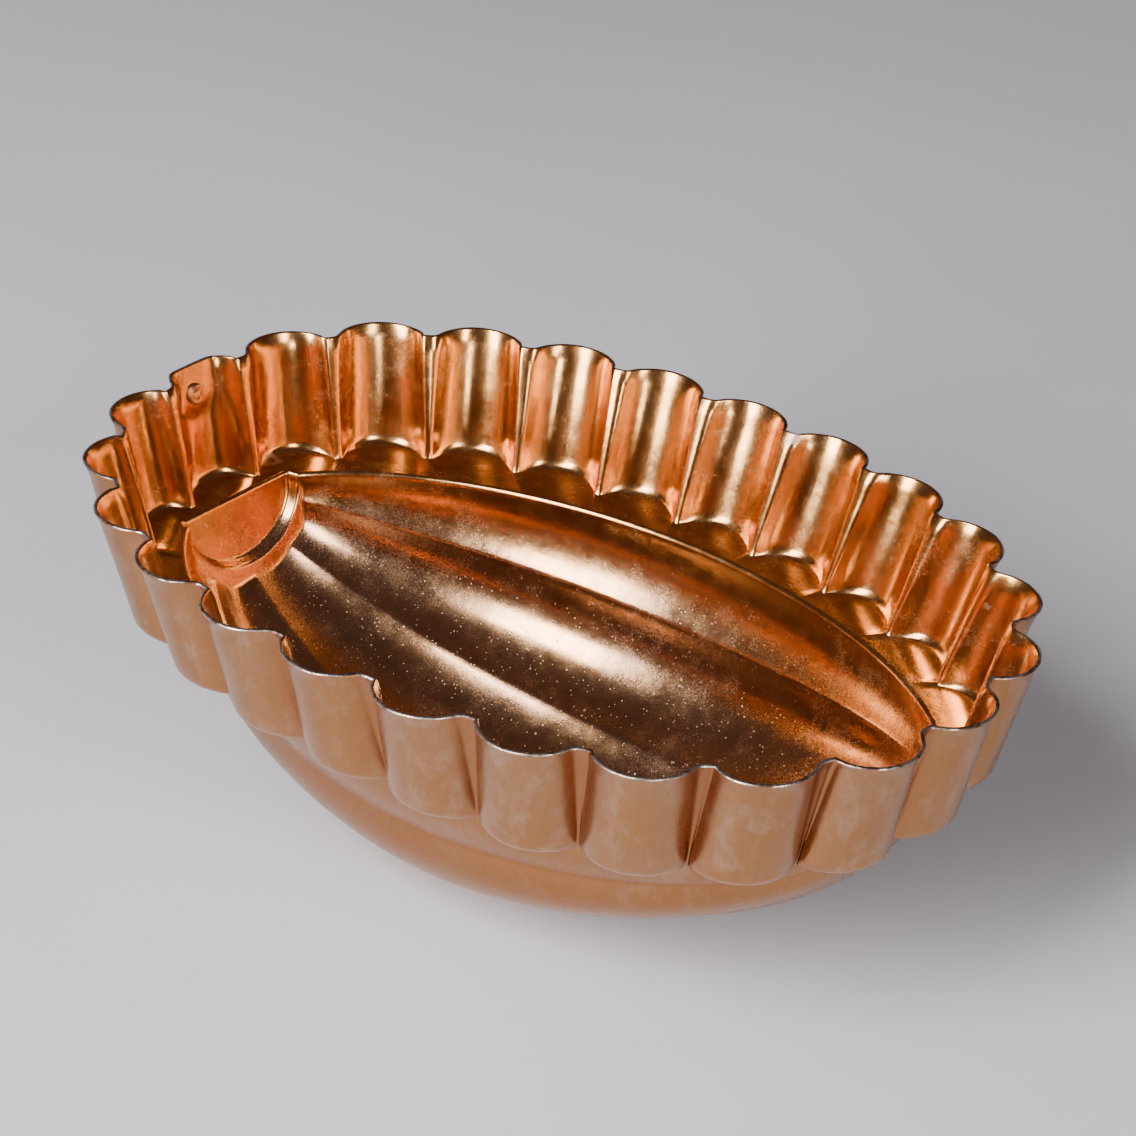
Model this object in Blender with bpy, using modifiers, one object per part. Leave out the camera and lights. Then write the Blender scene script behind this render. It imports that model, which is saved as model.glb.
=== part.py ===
"""Oval fluted melon mould: one drawn aluminium shell with a riveted hanging ring.

Units are metres, +Z is up and the mould's opening faces up. +X runs along the long axis, away
from the hanging ring. The shell is drawn from sheet 0.8 mm thick: a fluted wall, a flat ledge
and a ribbed half-melon bowl below it. Sizes below are in millimetres on the inside face, with
the rim plane at z = 0; the assembly is then raised so that the lowest rib stands on z = 0.
"""

import math

import bmesh
import bpy
import numpy as np
from mathutils import Matrix, Vector

MM = 0.001

# Sheet and rim
SHEET = 0.8
RIM_HALF_LENGTH = 107.0
RIM_HALF_WIDTH = 75.7
OVAL_POWER = 2.29
WALL_DROP = 30.5
RIM_TRIM = 1.0  # drawn above the rim, then trimmed off level
DRAFT_ENDS = 5.7
DRAFT_SIDES = 9.4

# Flutes
FLUTES = 24
FLUTE_DEPTH = 7.0
VALLEY_RADIUS = 1.3
ARC_STEPS = 6
FOOT_RADIUS = 3.0
FOOT_INSET_VALLEY = 0.3
FOOT_INSET_CREST = 2.8

# Pressed flat for the rivet, on the end flute at -X
FLAT_INSET = 1.5
FLAT_DROP = 14.5
FLAT_FADE = 1.8

# Melon bowl
BOWL_CENTRE_X = 1.0
BOWL_REACH_STEM = 102.4
BOWL_REACH_TIP = 99.6
BOWL_HALF_WIDTH = 57.6
BOWL_DEPTH = 50.6
BOWL_SECTION_POWER = 2.29
PLAN_POWER_STEM = 1.82
PLAN_POWER_TIP = 2.05
PROFILE_POWER_STEM = 1.95
PROFILE_POWER_TIP = 1.64
LOBE_RISE = 0.0546
RIB_ANGLES = (19.0, 56.0, 90.0, 124.0, 161.0)
BOWL_COLUMNS = 26

# Stem end: a leaning half disc, a short channel, a lip, and the start of the lobes
DISC_X = -97.0
DISC_RADIUS = 18.2
DISC_DEPTH = 15.6
DISC_LEAN = 0.2
LIP_STEP = 3.0
LIP_GROWTH = 0.7
LOBES_START_X = -93.6
LEAN_ENDS_X = -60.0
LOBES_START_DEPTH = 19.8
LOBES_START_SLOPE = 0.95
LOBES_START_SOFTNESS = 6.0

# Hanger: rivet, folded strap and wire ring
RIVET_DROP = 7.5
RIVET_SHANK_RADIUS = 1.3
RIVET_HOLE_RADIUS = 1.6
INNER_HEAD_RADIUS = 2.7
OUTER_HEAD_RADIUS = 2.2
HEAD_HEIGHT = 1.1
STRAP_SHEET = 0.6
STRAP_WIDTH = 9.0
STRAP_TAIL = 6.0
STRAP_CORNER = 3.4
LOOP_RADIUS = 1.85
LOOP_STAND_OFF = 6.2
LOOP_DROP = 3.8
RING_RADIUS = 13.8
WIRE_RADIUS = 1.2
WIRE_SAG = 0.3
GAP = 0.3

ALUMINIUM_COPPER = (0.78, 0.42, 0.22, 1.0)
STEEL_DARK = (0.30, 0.27, 0.25, 1.0)


# ---------------------------------------------------------------- curves and sections


def oval(half_length, half_width, fractions):
    """Points and outward normals at the given fractions of a superellipse's length."""
    angle = np.linspace(0.0, 2.0 * math.pi, 4001)
    x = half_length * np.sign(np.cos(angle)) * np.abs(np.cos(angle)) ** (2.0 / OVAL_POWER)
    y = half_width * np.sign(np.sin(angle)) * np.abs(np.sin(angle)) ** (2.0 / OVAL_POWER)
    run = np.concatenate([[0.0], np.cumsum(np.hypot(np.diff(x), np.diff(y)))])
    at = np.asarray(fractions) % 1.0 * run[-1]
    px = np.interp(at, run, x)
    py = np.interp(at, run, y)
    nx = np.sign(px) * (np.abs(px) / half_length) ** (OVAL_POWER - 1.0) / half_length
    ny = np.sign(py) * (np.abs(py) / half_width) ** (OVAL_POWER - 1.0) / half_width
    size = np.hypot(nx, ny)
    return px, py, nx / size, ny / size, run[-1]


def flute_radius(pitch):
    """Radius of a flute's arc that meets the valley fillets tangentially."""
    half = pitch / 2.0
    return (half * half + FLUTE_DEPTH**2) / (2.0 * FLUTE_DEPTH) - VALLEY_RADIUS


def flute_height(across, pitch):
    """Height of a flute above its valleys at a distance from the flute's middle."""
    radius = flute_radius(pitch)
    half = pitch / 2.0
    tangent = radius * half / (radius + VALLEY_RADIUS)
    across = np.abs(across)
    arc = FLUTE_DEPTH - radius + np.sqrt(np.maximum(radius**2 - across**2, 0.0))
    into = np.clip(half - across, 0.0, VALLEY_RADIUS)
    fillet = VALLEY_RADIUS - np.sqrt(VALLEY_RADIUS**2 - into**2)
    return np.where(across < tangent, arc, fillet)


def flute_stations(pitch):
    """Where a flute is sampled, as fractions of the pitch: evenly round its arc, then the valley."""
    radius = flute_radius(pitch)
    widest = math.asin(pitch / 2.0 / (radius + VALLEY_RADIUS))
    turns = np.linspace(-widest, widest, ARC_STEPS + 1)
    return np.concatenate([radius * np.sin(turns) / pitch, [0.5]])


def wall_section(drop, inset=0.0):
    """The fluted outline at a depth below the rim, moved in by inset on the crests."""
    part = drop / WALL_DROP
    half_length = RIM_HALF_LENGTH - DRAFT_ENDS * part
    half_width = RIM_HALF_WIDTH - DRAFT_SIDES * part
    pitch = oval(half_length, half_width, [0.0])[4] / FLUTES
    stations = flute_stations(pitch)
    fractions = (np.arange(FLUTES)[:, None] + stations[None, :]).ravel() / FLUTES
    rise = flute_height(np.tile(stations, FLUTES) * pitch, pitch)
    share = inset / FOOT_INSET_CREST
    valley_inset = FOOT_INSET_VALLEY * share
    rise = rise - valley_inset - (inset - valley_inset) * rise / FLUTE_DEPTH
    px, py, nx, ny, _ = oval(half_length, half_width, fractions)
    x = px + nx * rise
    y = py + ny * rise
    flat = 1.0 - min(max((drop - FLAT_DROP) / FLAT_FADE, 0.0), 1.0)
    x = np.maximum(x, -(half_length + FLUTE_DEPTH - FLAT_INSET * flat - inset))
    return x, y


def bowl_radii(x):
    """Half width and depth of the bowl's ribs at x."""
    stem = x < BOWL_CENTRE_X
    reach = BOWL_REACH_STEM if stem else BOWL_REACH_TIP
    along = min(abs(x - BOWL_CENTRE_X) / reach, 1.0)
    plan = PLAN_POWER_STEM if stem else PLAN_POWER_TIP
    profile = PROFILE_POWER_STEM if stem else PROFILE_POWER_TIP
    width = BOWL_HALF_WIDTH * (1.0 - along**plan) ** (1.0 / plan)
    depth = BOWL_DEPTH * (1.0 - along**profile) ** (1.0 / profile)
    if stem:
        part = (x - LOBES_START_X) / (BOWL_CENTRE_X - LOBES_START_X)
        slope = LOBES_START_DEPTH + LOBES_START_SLOPE * (x - LOBES_START_X)
        softness = LOBES_START_SOFTNESS * (1.0 - part)
        depth = (depth + slope - math.hypot(slope - depth, softness)) / 2.0
    return width, depth


def lobe_swell(angle):
    """How far the sheet stands outside the ribs, which the lobes arch between."""
    below = [rib for rib in RIB_ANGLES if rib <= angle]
    above = [rib for rib in RIB_ANGLES if rib > angle]
    low = below[-1] if below else -RIB_ANGLES[0]
    high = above[0] if above else 360.0 - RIB_ANGLES[-1]
    return 1.0 + LOBE_RISE * math.sin(math.pi * (angle - low) / (high - low))


def bowl_angles():
    """Angles round the bowl, with a station on every rib."""
    marks = (0.0,) + RIB_ANGLES + (180.0,)
    angles = [0.0]
    for low, high in zip(marks, marks[1:]):
        steps = 2 if low == 0.0 or high == 180.0 else 4
        angles += [low + (high - low) * step / steps for step in range(1, steps + 1)]
    return angles


def bowl_point(x, angle):
    width, depth = bowl_radii(x)
    swell = lobe_swell(angle)
    across = math.cos(math.radians(angle))
    down = math.sin(math.radians(angle))
    y = width * swell * math.copysign(abs(across) ** (2.0 / BOWL_SECTION_POWER), across)
    z = depth * swell * abs(down) ** (2.0 / BOWL_SECTION_POWER)
    return x, y if abs(across) > 1e-9 else 0.0, -WALL_DROP - z


def disc_point(angle, grow=0.0):
    """A point on the edge of the leaning half disc at the stem, or of a larger one."""
    y = (DISC_RADIUS + grow) * math.cos(math.radians(angle))
    down = (DISC_DEPTH + grow) * math.sin(math.radians(angle))
    return DISC_X + DISC_LEAN * down, y, -WALL_DROP - down


def lip_point(angle):
    x, y, z = disc_point(angle, LIP_GROWTH)
    return x + LIP_STEP, y, z


def leaning(x, angle):
    """Moves a station near the stem so that the lobes start parallel to the disc."""
    if x > LEAN_ENDS_X:
        return x
    start = LOBES_START_X + DISC_LEAN * DISC_DEPTH * math.sin(math.radians(angle))
    share = (x - LOBES_START_X) / (LEAN_ENDS_X - LOBES_START_X)
    return start + (LEAN_ENDS_X - start) * share


def bowl_stations():
    """x positions from the lobes' start to the tip, closer together towards both ends."""
    start = math.acos((LOBES_START_X - BOWL_CENTRE_X) / BOWL_REACH_STEM)
    turns = np.linspace(start, 0.0, BOWL_COLUMNS)
    reaches = np.where(np.cos(turns) < 0.0, BOWL_REACH_STEM, BOWL_REACH_TIP)
    return BOWL_CENTRE_X + reaches * np.cos(turns)


# ---------------------------------------------------------------- the drawn shell


def wall_rows():
    """Drop and crest inset of each row of the wall, from above the rim to the ledge."""
    rows = [(-RIM_TRIM, 0.0), (FLAT_DROP, 0.0), (FLAT_DROP + FLAT_FADE, 0.0)]
    for turn in (0.0, 45.0, 90.0):
        lean = math.radians(turn)
        drop = WALL_DROP - FOOT_RADIUS * (1.0 - math.sin(lean))
        rows.append((drop, FOOT_INSET_CREST * (1.0 - math.cos(lean))))
    return rows


def add_wall(bm):
    """The fluted wall, as a loft of its outlines. Returns the foot's vertices."""
    previous = None
    for drop, inset in wall_rows():
        x, y = wall_section(drop, inset)
        ring = [bm.verts.new((px * MM, py * MM, -drop * MM)) for px, py in zip(x, y)]
        if previous:
            for i, vert in enumerate(ring):
                after = (i + 1) % len(ring)
                bm.faces.new((previous[i], previous[after], ring[after], vert))
        previous = ring
    return previous


def add_bowl(bm):
    """The ribbed bowl and the stem end. Returns the opening's vertices, in order round it."""
    angles = bowl_angles()
    columns = [[disc_point(a) for a in angles], [lip_point(a) for a in angles]]
    columns += [[bowl_point(leaning(x, a), a) for a in angles] for x in bowl_stations()[:-1]]
    made = [[bm.verts.new(Vector(p) * MM) for p in column] for column in columns]
    tip = bm.verts.new(Vector((BOWL_CENTRE_X + BOWL_REACH_TIP, 0.0, -WALL_DROP)) * MM)
    for first, second in zip(made, made[1:]):
        for j in range(len(angles) - 1):
            bm.faces.new((first[j], first[j + 1], second[j + 1], second[j]))
    for j in range(len(angles) - 1):
        bm.faces.new((made[-1][j], made[-1][j + 1], tip))
    bm.faces.new(made[0])
    return [column[0] for column in made] + [tip] + [column[-1] for column in reversed(made)]


def loop_edges(bm, loop):
    pairs = zip(loop, loop[1:] + loop[:1])
    return [bm.edges.get(pair) or bm.edges.new(pair) for pair in pairs]


def build_shell():
    """Wall, ledge and bowl as one open surface, thickened outwards and drilled for the rivet."""
    bm = bmesh.new()
    foot = add_wall(bm)
    opening = add_bowl(bm)
    ledge = loop_edges(bm, foot) + loop_edges(bm, opening)
    bmesh.ops.triangle_fill(bm, use_beauty=True, use_dissolve=False, edges=ledge, normal=(0, 0, 1))
    bmesh.ops.recalc_face_normals(bm, faces=bm.faces)
    bm.faces.ensure_lookup_table()
    if max(bm.faces, key=lambda face: face.calc_center_median().x).normal.x > 0.0:
        bmesh.ops.reverse_faces(bm, faces=bm.faces)
    shell = new_object("pan_shell", bm, aluminium("pan_copper_finish", ALUMINIUM_COPPER, 0.28))
    thicken = shell.modifiers.new("sheet", "SOLIDIFY")
    thicken.thickness = SHEET * MM
    thicken.offset = -1.0
    thicken.use_even_offset = True
    thicken.use_quality_normals = True
    cut(shell, rim_cutter())
    cut(shell, rivet_cutter("shell_hole_cutter"))
    return shell


# ---------------------------------------------------------------- the hanger


def hanger_frame():
    """A frame at the rivet on the pressed flat: local X out of the wall, local Z up along it."""
    crest = RIM_HALF_LENGTH + FLUTE_DEPTH - FLAT_INSET
    lean = math.atan2(DRAFT_ENDS, WALL_DROP)
    foot = Vector((-(crest - math.tan(lean) * RIVET_DROP), 0.0, -RIVET_DROP))
    out = Vector((-math.cos(lean), 0.0, -math.sin(lean)))
    up = Vector((-math.sin(lean), 0.0, math.cos(lean)))
    across = up.cross(out)
    turn = Matrix((out, across, up)).transposed()
    return Matrix.Translation(foot * MM) @ turn.to_4x4()


def hinge_point():
    return hanger_frame() @ (Vector((LOOP_STAND_OFF, 0.0, -LOOP_DROP)) * MM)


def rim_cutter():
    """A block that trims the wall's top level with the rim plane."""
    bm = bmesh.new()
    bmesh.ops.create_cube(bm, size=1.0)
    high = 10.0 * MM
    bm.transform(Matrix.Diagonal((0.4, 0.4, high, 1.0)))
    bm.transform(Matrix.Translation((0.0, 0.0, high / 2.0)))
    return new_object("rim_cutter", bm, None, cutters)


def rivet_cutter(name):
    """A round cutter through the sheet and the strap, on the rivet's axis."""
    bm = bmesh.new()
    long = 12.0 * MM
    radius = RIVET_HOLE_RADIUS * MM
    bmesh.ops.create_cone(bm, cap_ends=True, segments=20, radius1=radius, radius2=radius, depth=long)
    bm.transform(Matrix.Rotation(math.pi / 2.0, 4, "Y"))
    cutter = new_object(name, bm, None, cutters)
    cutter.matrix_world = hanger_frame()
    return cutter


def build_rivet():
    """A turned rivet: flat-topped inner head, shank through sheet and strap, outer head."""
    inner = -GAP
    outer = SHEET + GAP + 2.0 * STRAP_SHEET + GAP
    profile = [
        (0.0, outer + HEAD_HEIGHT),
        (OUTER_HEAD_RADIUS * 0.55, outer + HEAD_HEIGHT * 0.93),
        (OUTER_HEAD_RADIUS * 0.88, outer + HEAD_HEIGHT * 0.6),
        (OUTER_HEAD_RADIUS, outer),
        (RIVET_SHANK_RADIUS, outer),
        (RIVET_SHANK_RADIUS, inner),
        (INNER_HEAD_RADIUS, inner),
        (INNER_HEAD_RADIUS * 0.96, inner - HEAD_HEIGHT * 0.55),
        (INNER_HEAD_RADIUS * 0.78, inner - HEAD_HEIGHT),
        (INNER_HEAD_RADIUS * 0.66, inner - HEAD_HEIGHT * 0.8),
        (INNER_HEAD_RADIUS * 0.30, inner - HEAD_HEIGHT * 0.95),
        (0.0, inner - HEAD_HEIGHT),
    ]
    bm = bmesh.new()
    points = [bm.verts.new((radius * MM, 0.0, height * MM)) for radius, height in profile]
    for pair in zip(points, points[1:]):
        bm.edges.new(pair)
    rivet = new_object("rivet", bm, aluminium("rivet_copper_finish", ALUMINIUM_COPPER, 0.3))
    turned = rivet.modifiers.new("turned", "SCREW")
    turned.axis = "Z"
    turned.steps = 24
    turned.render_steps = 24
    turned.use_merge_vertices = True
    turned.merge_threshold = 0.00005
    rivet.matrix_world = hanger_frame() @ Matrix.Rotation(math.pi / 2.0, 4, "Y")
    return rivet


def arc(centre, radius, start, end, steps):
    """Points from the start angle to the end angle, in degrees."""
    turns = [math.radians(start + (end - start) * step / steps) for step in range(steps + 1)]
    return [(centre[0] + radius * math.cos(t), centre[1] + radius * math.sin(t)) for t in turns]


def flat_curve(name, outlines, thickness):
    """A filled flat outline in local XY with holes, extruded both ways, as a welded mesh."""
    data = bpy.data.curves.new(name, "CURVE")
    data.dimensions = "2D"
    data.fill_mode = "BOTH"
    data.extrude = thickness * MM / 2.0
    for outline in outlines:
        spline = data.splines.new("POLY")
        spline.points.add(len(outline) - 1)
        for point, (x, y) in zip(spline.points, outline):
            point.co = (x * MM, y * MM, 0.0, 1.0)
        spline.use_cyclic_u = True
    guide = bpy.data.objects.new(name + "_outline", data)
    cutters.objects.link(guide)
    bpy.context.view_layer.update()
    evaluated = guide.evaluated_get(bpy.context.evaluated_depsgraph_get())
    bm = bmesh.new()
    bm.from_mesh(bpy.data.meshes.new_from_object(evaluated))
    bmesh.ops.remove_doubles(bm, verts=bm.verts, dist=1e-6)
    bpy.data.objects.remove(guide)
    return bm


def build_strap():
    """A strip folded round the ring's wire: a loop below a double tail with a round end."""
    centre = (LOOP_STAND_OFF, -LOOP_DROP)
    outside = LOOP_RADIUS + STRAP_SHEET
    near = SHEET + GAP
    far = near + 2.0 * STRAP_SHEET
    outline = [(near, STRAP_TAIL), (near, -LOOP_DROP + 0.2)]
    outline += arc(centre, outside, -125.0, 150.0, 18)
    outline += [(far, -LOOP_DROP + 1.3), (far, STRAP_TAIL)]
    hole = arc(centre, LOOP_RADIUS, 0.0, 337.5, 15)
    bm = flat_curve("hanger_strap", [outline, hole], STRAP_WIDTH)
    bm.transform(Matrix.Rotation(math.pi / 2.0, 4, "X"))
    for edge in bm.edges:
        ends = [vert.co / MM for vert in edge.verts]
        along_sheet = abs(ends[0].x - ends[1].x) > STRAP_SHEET
        if along_sheet and all(abs(end.z - STRAP_TAIL) < 0.01 for end in ends):
            edge.select = abs(ends[0].y - ends[1].y) < 0.01
    corners = [edge for edge in bm.edges if edge.select]
    bmesh.ops.bevel(bm, geom=corners, offset=STRAP_CORNER * MM, segments=5, affect="EDGES", profile=0.5)
    bmesh.ops.recalc_face_normals(bm, faces=bm.faces)
    strap = new_object("hanger_strap", bm, aluminium("strap_copper_finish", ALUMINIUM_COPPER, 0.4))
    strap.matrix_world = hanger_frame()
    cut(strap, rivet_cutter("strap_hole_cutter"))
    return strap


def build_ring():
    """A closed wire ring, hanging straight down from the loop. Its origin is the hinge."""
    data = bpy.data.curves.new("hanging_ring", "CURVE")
    data.dimensions = "3D"
    data.bevel_depth = WIRE_RADIUS * MM
    data.bevel_resolution = 2
    data.use_fill_caps = True
    spline = data.splines.new("POLY")
    steps = 44
    spline.points.add(steps - 1)
    for step, point in enumerate(spline.points):
        turn = 2.0 * math.pi * step / steps
        down = WIRE_SAG - RING_RADIUS + RING_RADIUS * math.cos(turn)
        point.co = (0.0, RING_RADIUS * math.sin(turn) * MM, down * MM, 1.0)
    spline.use_cyclic_u = True
    ring = bpy.data.objects.new("hanging_ring", data)
    data.materials.append(aluminium("ring_wire", STEEL_DARK, 0.35))
    parts.objects.link(ring)
    ring.location = hinge_point()
    return ring


# ---------------------------------------------------------------- scene helpers


def aluminium(name, colour, roughness):
    """A metal with the given colour and polish."""
    material = bpy.data.materials.new(name)
    material.use_nodes = True
    shader = material.node_tree.nodes["Principled BSDF"]
    shader.inputs["Base Color"].default_value = colour
    shader.inputs["Roughness"].default_value = roughness
    shader.inputs["Metallic"].default_value = 1.0
    return material


def new_object(name, bm, material, collection=None):
    mesh = bpy.data.meshes.new(name)
    bm.to_mesh(mesh)
    bm.free()
    if material:
        mesh.materials.append(material)
    mesh.shade_smooth()
    mesh.set_sharp_from_angle(angle=math.radians(32.0))
    made = bpy.data.objects.new(name, mesh)
    (collection or parts).objects.link(made)
    return made


def cut(target, cutter):
    cutter.hide_render = True
    cutter.display_type = "WIRE"
    boolean = target.modifiers.new(cutter.name, "BOOLEAN")
    boolean.operation = "DIFFERENCE"
    boolean.solver = "EXACT"
    boolean.object = cutter


def new_collection(name, hidden=False):
    collection = bpy.data.collections.new(name)
    collection.hide_render = hidden
    bpy.context.scene.collection.children.link(collection)
    return collection


def raise_to_stand(shell, others):
    """Parents everything to an empty that puts the lowest point on z = 0 and centres the length."""
    bpy.context.view_layer.update()
    graph = bpy.context.evaluated_depsgraph_get()
    left = hinge_point().x - (LOOP_RADIUS + STRAP_SHEET) * MM
    thickened = [vert.co for vert in shell.evaluated_get(graph).data.vertices]
    right = max(point.x for point in thickened)
    lowest = min(point.z for point in thickened)
    stand = bpy.data.objects.new("stand_point", None)
    stand.location = (-(left + right) / 2.0, 0.0, -lowest)
    parts.objects.link(stand)
    for piece in [shell] + others:
        piece.parent = stand


for old in list(bpy.data.objects):
    bpy.data.objects.remove(old)
parts = new_collection("melon_mould")
cutters = new_collection("cutters", hidden=True)
shell = build_shell()
strap = build_strap()
rivet = build_rivet()
ring = build_ring()
raise_to_stand(shell, [strap, rivet, ring] + list(cutters.objects))
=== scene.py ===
"""Looks of the oval fluted melon mould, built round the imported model.

Lengths below are in millimetres on the mould's inside face, with the rim plane at z = 0 and the
rim's centre at x = y = 0. to_frame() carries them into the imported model's frame, in metres.
"""

import math

import bmesh
import bpy
import numpy as np
from mathutils import Matrix, Vector, noise


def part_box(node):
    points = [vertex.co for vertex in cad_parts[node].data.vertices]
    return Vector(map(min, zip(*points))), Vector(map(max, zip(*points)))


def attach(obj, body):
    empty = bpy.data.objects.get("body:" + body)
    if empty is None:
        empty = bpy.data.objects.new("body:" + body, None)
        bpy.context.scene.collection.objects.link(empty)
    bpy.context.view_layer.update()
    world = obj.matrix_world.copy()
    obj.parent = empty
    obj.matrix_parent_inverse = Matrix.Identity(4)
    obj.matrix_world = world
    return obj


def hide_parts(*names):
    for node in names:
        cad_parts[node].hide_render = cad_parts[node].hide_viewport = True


MM = 0.001

# Sheet, rim and wall
SHEET = 0.8
RIM_HALF_LENGTH = 107.0
RIM_HALF_WIDTH = 75.7
OVAL_POWER = 2.29
WALL_DROP = 30.5
DRAFT_ENDS = 5.7
DRAFT_SIDES = 9.4
FLUTES = 24
FLUTE_DEPTH = 7.0
VALLEY_RADIUS_RIM = 3.3
VALLEY_RADIUS_FOOT = 1.2
VALLEY_EASE = 26.0
ARC_STEPS = 16
VALLEY_STEPS = 6
FLARE = 0.7
FLARE_DROP = 4.0
FOOT_RADIUS = 2.2
FOOT_INSET_VALLEY = 0.3
FOOT_INSET_CREST = 2.2
FLAT_INSET = 1.5
FLAT_DROP = 10.5
FLAT_FADE = 4.0
FLAT_SOFTNESS = 0.45
FLAT_BOW = 2.0
FLAT_BOW_WIDTH = 6.0
WALL_SLANT = 1.015

# Unevenness of the worn sheet: how far it strays, and how far below the rim it is worst
DENT_BROAD = 0.10
DENT_FINE = 0.05
DENT_RIM = 0.22
DENT_RIM_REACH = 12.0

# Bowl
EDGE_RADIUS = 1.2
NORMAL_SMOOTHING = 14
SHORTEST_EDGE = 0.06
BOWL_CENTRE_X = 1.0
BOWL_REACH_STEM = 102.4
BOWL_REACH_TIP = 98.8
BOWL_HALF_WIDTH = 56.8
BOWL_DEPTH = 49.4
BOWL_SECTION_POWER = 2.29
PLAN_POWER_STEM = 1.82
PLAN_POWER_TIP = 2.05
PROFILE_POWER_STEM = 1.95
PROFILE_POWER_TIP = 1.64
LOBE_RISE = 0.0546
RIB_ANGLES = (19.0, 56.0, 90.0, 124.0, 161.0)
RIB_ROUNDING = 0.07
BOWL_COLUMNS = 110
# Spread in degrees of the painted shade along the outside grooves under the ribs
GROOVE_SHADE_SPREAD = 1.6

# Stem end
DISC_X = -97.0
DISC_RADIUS = 18.2
DISC_DEPTH = 15.6
DISC_LEAN = 0.2
LIP_STEP = 3.0
LIP_GROWTH = 0.7
LOBES_START_X = -93.6
LEAN_ENDS_X = -60.0
LOBES_START_DEPTH = 18.6
LOBES_START_SLOPE = 0.95
LOBES_START_SOFTNESS = 6.0
DISC_FILLET = 1.0
LIP_FILLET = 0.8
LOBE_FILLET = 1.8

# Hanger
RIVET_DROP = 7.5
STRAP_SHEET = 0.6
STRAP_WIDTH = 9.0
STRAP_TAIL = 6.0
STRAP_CORNER = 3.4
LOOP_RADIUS = 1.85
LOOP_STAND_OFF = 6.2
LOOP_DROP = 3.8
GAP = 0.3
RING_RADIUS = 13.8
WIRE_RADIUS = 1.2
WIRE_SAG = 0.3
INNER_HEAD_RADIUS = 2.7
OUTER_HEAD_RADIUS = 2.2
HEAD_HEIGHT = 1.1

# Heights above the floor, in metres: specks thin out to the first, the wall's tone comes in between
# the next two, and the low outside's tone between the last two
BOWL_SPECKS_TOP = 0.05
WALL_TONE_FROM, WALL_TONE_TO = 0.034, 0.052
LOW_TONE_FROM, LOW_TONE_TO = 0.056, 0.020

# Colours, linear
INSIDE_COPPER = (0.73, 0.38, 0.155, 1.0)
INSIDE_PALE = (0.69, 0.38, 0.20, 1.0)
INSIDE_WALL = (0.76, 0.36, 0.10, 1.0)
INSIDE_STREAK = (0.76, 0.42, 0.18, 1.0)
STAIN = (0.56, 0.42, 0.34, 1.0)
FROST = (0.60, 0.46, 0.38, 1.0)
DRIED_DROP = (0.80, 0.62, 0.52, 1.0)
SPECK = (0.92, 0.78, 0.64, 1.0)
OUTSIDE_COPPER = (0.38, 0.175, 0.07, 1.0)
OUTSIDE_PALE = (0.39, 0.195, 0.095, 1.0)
OUTSIDE_HAZE = (0.50, 0.35, 0.25, 1.0)
OUTSIDE_BRUSHED = (0.33, 0.15, 0.06, 1.0)
# Painted shade in the flute valleys and rib grooves on the outside
VALLEY_PAINTED_SHADE = (0.34, 0.125, 0.045, 1.0)
OUTSIDE_LOW = (0.31, 0.125, 0.04, 1.0)
EDGE_BARE = (0.64, 0.52, 0.42, 1.0)
EDGE_DIRT = (0.13, 0.07, 0.045, 1.0)
HARDWARE_COPPER = (0.80, 0.43, 0.21, 1.0)
HARDWARE_WORN = (0.52, 0.30, 0.18, 1.0)
# Painted shade: the wire's colour is darkened to the shade and dark reflections it shows
WIRE_PAINTED_SHADE = (0.16, 0.12, 0.10, 1.0)
WIRE_WORN = (0.40, 0.28, 0.20, 1.0)
FLOOR_DARK = (0.76, 0.76, 0.752, 1.0)
FLOOR_PALE = (0.82, 0.82, 0.812, 1.0)
ROOM = (0.066, 0.044, 0.050, 1.0)

# Studio lights: name, azimuth, elevation, distance, size, power, colour
LIGHTS = (
    ("window", -98.0, 29.0, 1.5, (0.58, 1.40), 52.0, (0.97, 0.97, 1.06)),
    ("side_window", -20.0, 24.0, 1.5, (0.34, 0.62), 10.0, (0.97, 0.97, 1.04)),
    ("low_strip", -38.0, 4.0, 1.5, (0.24, 0.16), 3.0, (0.97, 0.97, 1.04)),
)

# Camera, from the rim's centre, in metres and degrees
CAMERA_FROM_RIM = Vector((0.3583, -0.4829, 0.3357))
CAMERA_AIM = Vector((-0.0166, 0.0299, -0.0305))
CAMERA_ROLL = 4.25
CAMERA_VIEW = 20.98

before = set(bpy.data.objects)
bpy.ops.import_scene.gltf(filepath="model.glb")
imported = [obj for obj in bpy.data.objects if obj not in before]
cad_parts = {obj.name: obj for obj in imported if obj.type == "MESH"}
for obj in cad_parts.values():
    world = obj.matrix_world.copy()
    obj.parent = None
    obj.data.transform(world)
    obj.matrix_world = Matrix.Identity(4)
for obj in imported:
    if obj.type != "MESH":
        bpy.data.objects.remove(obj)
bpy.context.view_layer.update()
shell_low, shell_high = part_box("pan_shell")
rim_reach = RIM_HALF_LENGTH + FLUTE_DEPTH + SHEET * WALL_SLANT
RIM_CENTRE = Vector((shell_high.x - rim_reach * MM, 0.0, shell_high.z))


def to_frame(x, y, z):
    """A point in millimetres from the rim's centre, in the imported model's frame."""
    return Vector((x, y, z)) * MM + RIM_CENTRE


# ---------------------------------------------------------------- sections of the shell


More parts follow.
